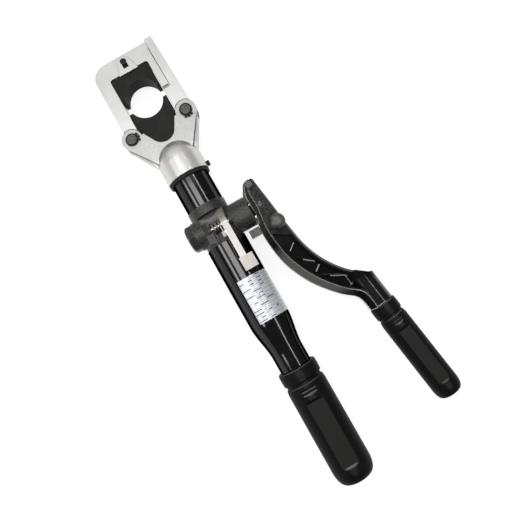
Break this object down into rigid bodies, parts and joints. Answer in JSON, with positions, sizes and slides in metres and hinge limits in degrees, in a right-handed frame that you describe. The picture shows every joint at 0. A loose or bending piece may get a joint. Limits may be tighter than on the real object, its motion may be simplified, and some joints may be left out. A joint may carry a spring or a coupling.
{
  "type": "hydraulic crimping tool",
  "caption": "Hydraulic hand crimping tool: swivelling flip-top head with U-shaped dies, pumped ram, release lever, reservoir handle and a pivoting pump lever with rubber grips.",
  "frame": {"origin": "centre of the crimp nest, on the tool's axis, halfway through the dies' thickness", "axes": "+Y along the tool's axis to the head's top, +X to the moving handle, +Z out of the head's flat face, through the crimp nest"},
  "size_m": [0.1724, 0.4824, 0.0537],
  "materials": {
    "head_steel": "satin machined",
    "black_steel": "matte black oxide",
    "black_gloss": "gloss black",
    "cast_grey": "matte dark grey casting",
    "bright_steel": "ground",
    "spring_steel": "drawn wire",
    "nickel": "nickel plated",
    "bronze": "turned",
    "grip_rubber": "matte",
    "seal_rubber": "matte",
    "cap_alloy": "turned",
    "foil": "satin foil, bare"
  },
  "bodies": {
    "body": {"pump_body": "cast_grey", "cylinder": "black_gloss", "swivel_ring": "black_gloss", "guide_bush": "bronze", "ram_spring": "spring_steel", "cylinder_seal": "seal_rubber", "relief_plug": "black_steel", "relief_spring": "spring_steel", "pump_gland": "bright_steel", "plunger_seal": "seal_rubber", "delivery_spring": "spring_steel", "delivery_plug": "bright_steel", "suction_seat": "bright_steel", "release_spring": "spring_steel", "release_pivot": "bright_steel", "release_return": "spring_steel", "release_plug": "bright_steel", "fulcrum_pin": "bright_steel", "reservoir_tube": "black_gloss", "oil_bladder": "seal_rubber", "oil_filter": "bronze", "reservoir_cap": "cap_alloy", "fixed_grip": "grip_rubber", "label_plate": "foil"},
    "head": {"head_fork": "head_steel", "yoke_pin": "black_steel", "latch_pin": "black_steel", "pin_clips": "black_steel", "neck_screw": "black_steel"},
    "yoke": {"yoke": "head_steel", "upper_die": "black_steel"},
    "die_lock": {"die_lock_pin": "black_steel"},
    "latch": {"latch_bar": "head_steel"},
    "ram": {"ram": "bright_steel", "piston_seal": "seal_rubber", "lower_die": "black_steel", "die_stud": "bright_steel"},
    "handle": {"handle_lever": "cast_grey", "handle_bolt": "cast_grey", "handle_nut": "cast_grey", "stop_pad": "cast_grey", "plunger_pin": "bright_steel", "moving_grip": "grip_rubber"},
    "plunger": {"pump_plunger": "bright_steel"},
    "release": {"release_lever": "nickel"},
    "release_valve": {"release_pin": "bright_steel", "release_ball": "bright_steel"},
    "relief_valve": {"relief_poppet": "bright_steel"},
    "delivery_valve": {"delivery_ball": "bright_steel"},
    "suction_valve": {"suction_ball": "bright_steel"}
  },
  "joints": [
    {"name": "head_swivel", "type": "hinge", "parent": "body", "child": "head", "pos_m": [0, -0.08, 0], "axis": [0, 1, 0], "range_deg": [-90, 90]},
    {"name": "latch_pivot", "type": "hinge", "parent": "head", "child": "latch", "pos_m": [0.031, -0.035, 0], "axis": [0, 0, 1], "range_deg": [-60, 0]},
    {"name": "yoke_pivot", "type": "hinge", "parent": "head", "child": "yoke", "pos_m": [-0.031, -0.035, 0], "axis": [0, 0, 1], "range_deg": [0, 60]},
    {"name": "die_lock_turn", "type": "hinge", "parent": "yoke", "child": "die_lock", "pos_m": [0, 0.0412, 0], "axis": [0, 0, 1], "range_deg": [0, 180]},
    {"name": "ram_slide", "type": "slide", "parent": "head", "child": "ram", "axis": [0, 1, 0], "range_m": [0, 0.0145], "stiffness_N_per_m": 1500, "springref_m": -0.01, "deforming": ["ram_spring"]},
    {"name": "handle_pivot", "type": "hinge", "parent": "body", "child": "handle", "pos_m": [0.0477, -0.1343, 0], "axis": [0, 0, 1], "range_deg": [-4.5, 35]},
    {"name": "plunger_slide", "type": "slide", "parent": "body", "child": "plunger", "axis": [1, 0, 0], "range_m": [-0.0017, 0.0127]},
    {"name": "release_press", "type": "hinge", "parent": "body", "child": "release", "pos_m": [0, -0.156, 0.017], "axis": [1, 0, 0], "range_deg": [0, 5], "stiffness_Nm_per_rad": 3, "springref_deg": -5.73, "deforming": ["release_spring", "release_return"]},
    {"name": "release_pin_slide", "type": "slide", "parent": "body", "child": "release_valve", "axis": [0, 0, -1], "range_m": [0, 0.0008]},
    {"name": "relief_slide", "type": "slide", "parent": "body", "child": "relief_valve", "axis": [-1, 0, 0], "range_m": [0, 0.0015], "stiffness_N_per_m": 200, "springref_m": -0.004, "deforming": ["relief_spring"]},
    {"name": "delivery_slide", "type": "slide", "parent": "body", "child": "delivery_valve", "axis": [0, 1, 0], "range_m": [0, 0.0008], "stiffness_N_per_m": 50, "springref_m": -0.002, "deforming": ["delivery_spring"]},
    {"name": "suction_slide", "type": "slide", "parent": "body", "child": "suction_valve", "axis": [0, 1, 0], "range_m": [0, 0.001]}
  ],
  "couplings": [
    {"joint": "yoke_pivot", "follows": "latch_pivot", "ratio": -1},
    {"joint": "plunger_slide", "follows": "handle_pivot", "m_per_rad": 0.02056},
    {"joint": "release_pin_slide", "follows": "release_press", "m_per_rad": 0.0088}
  ]
}
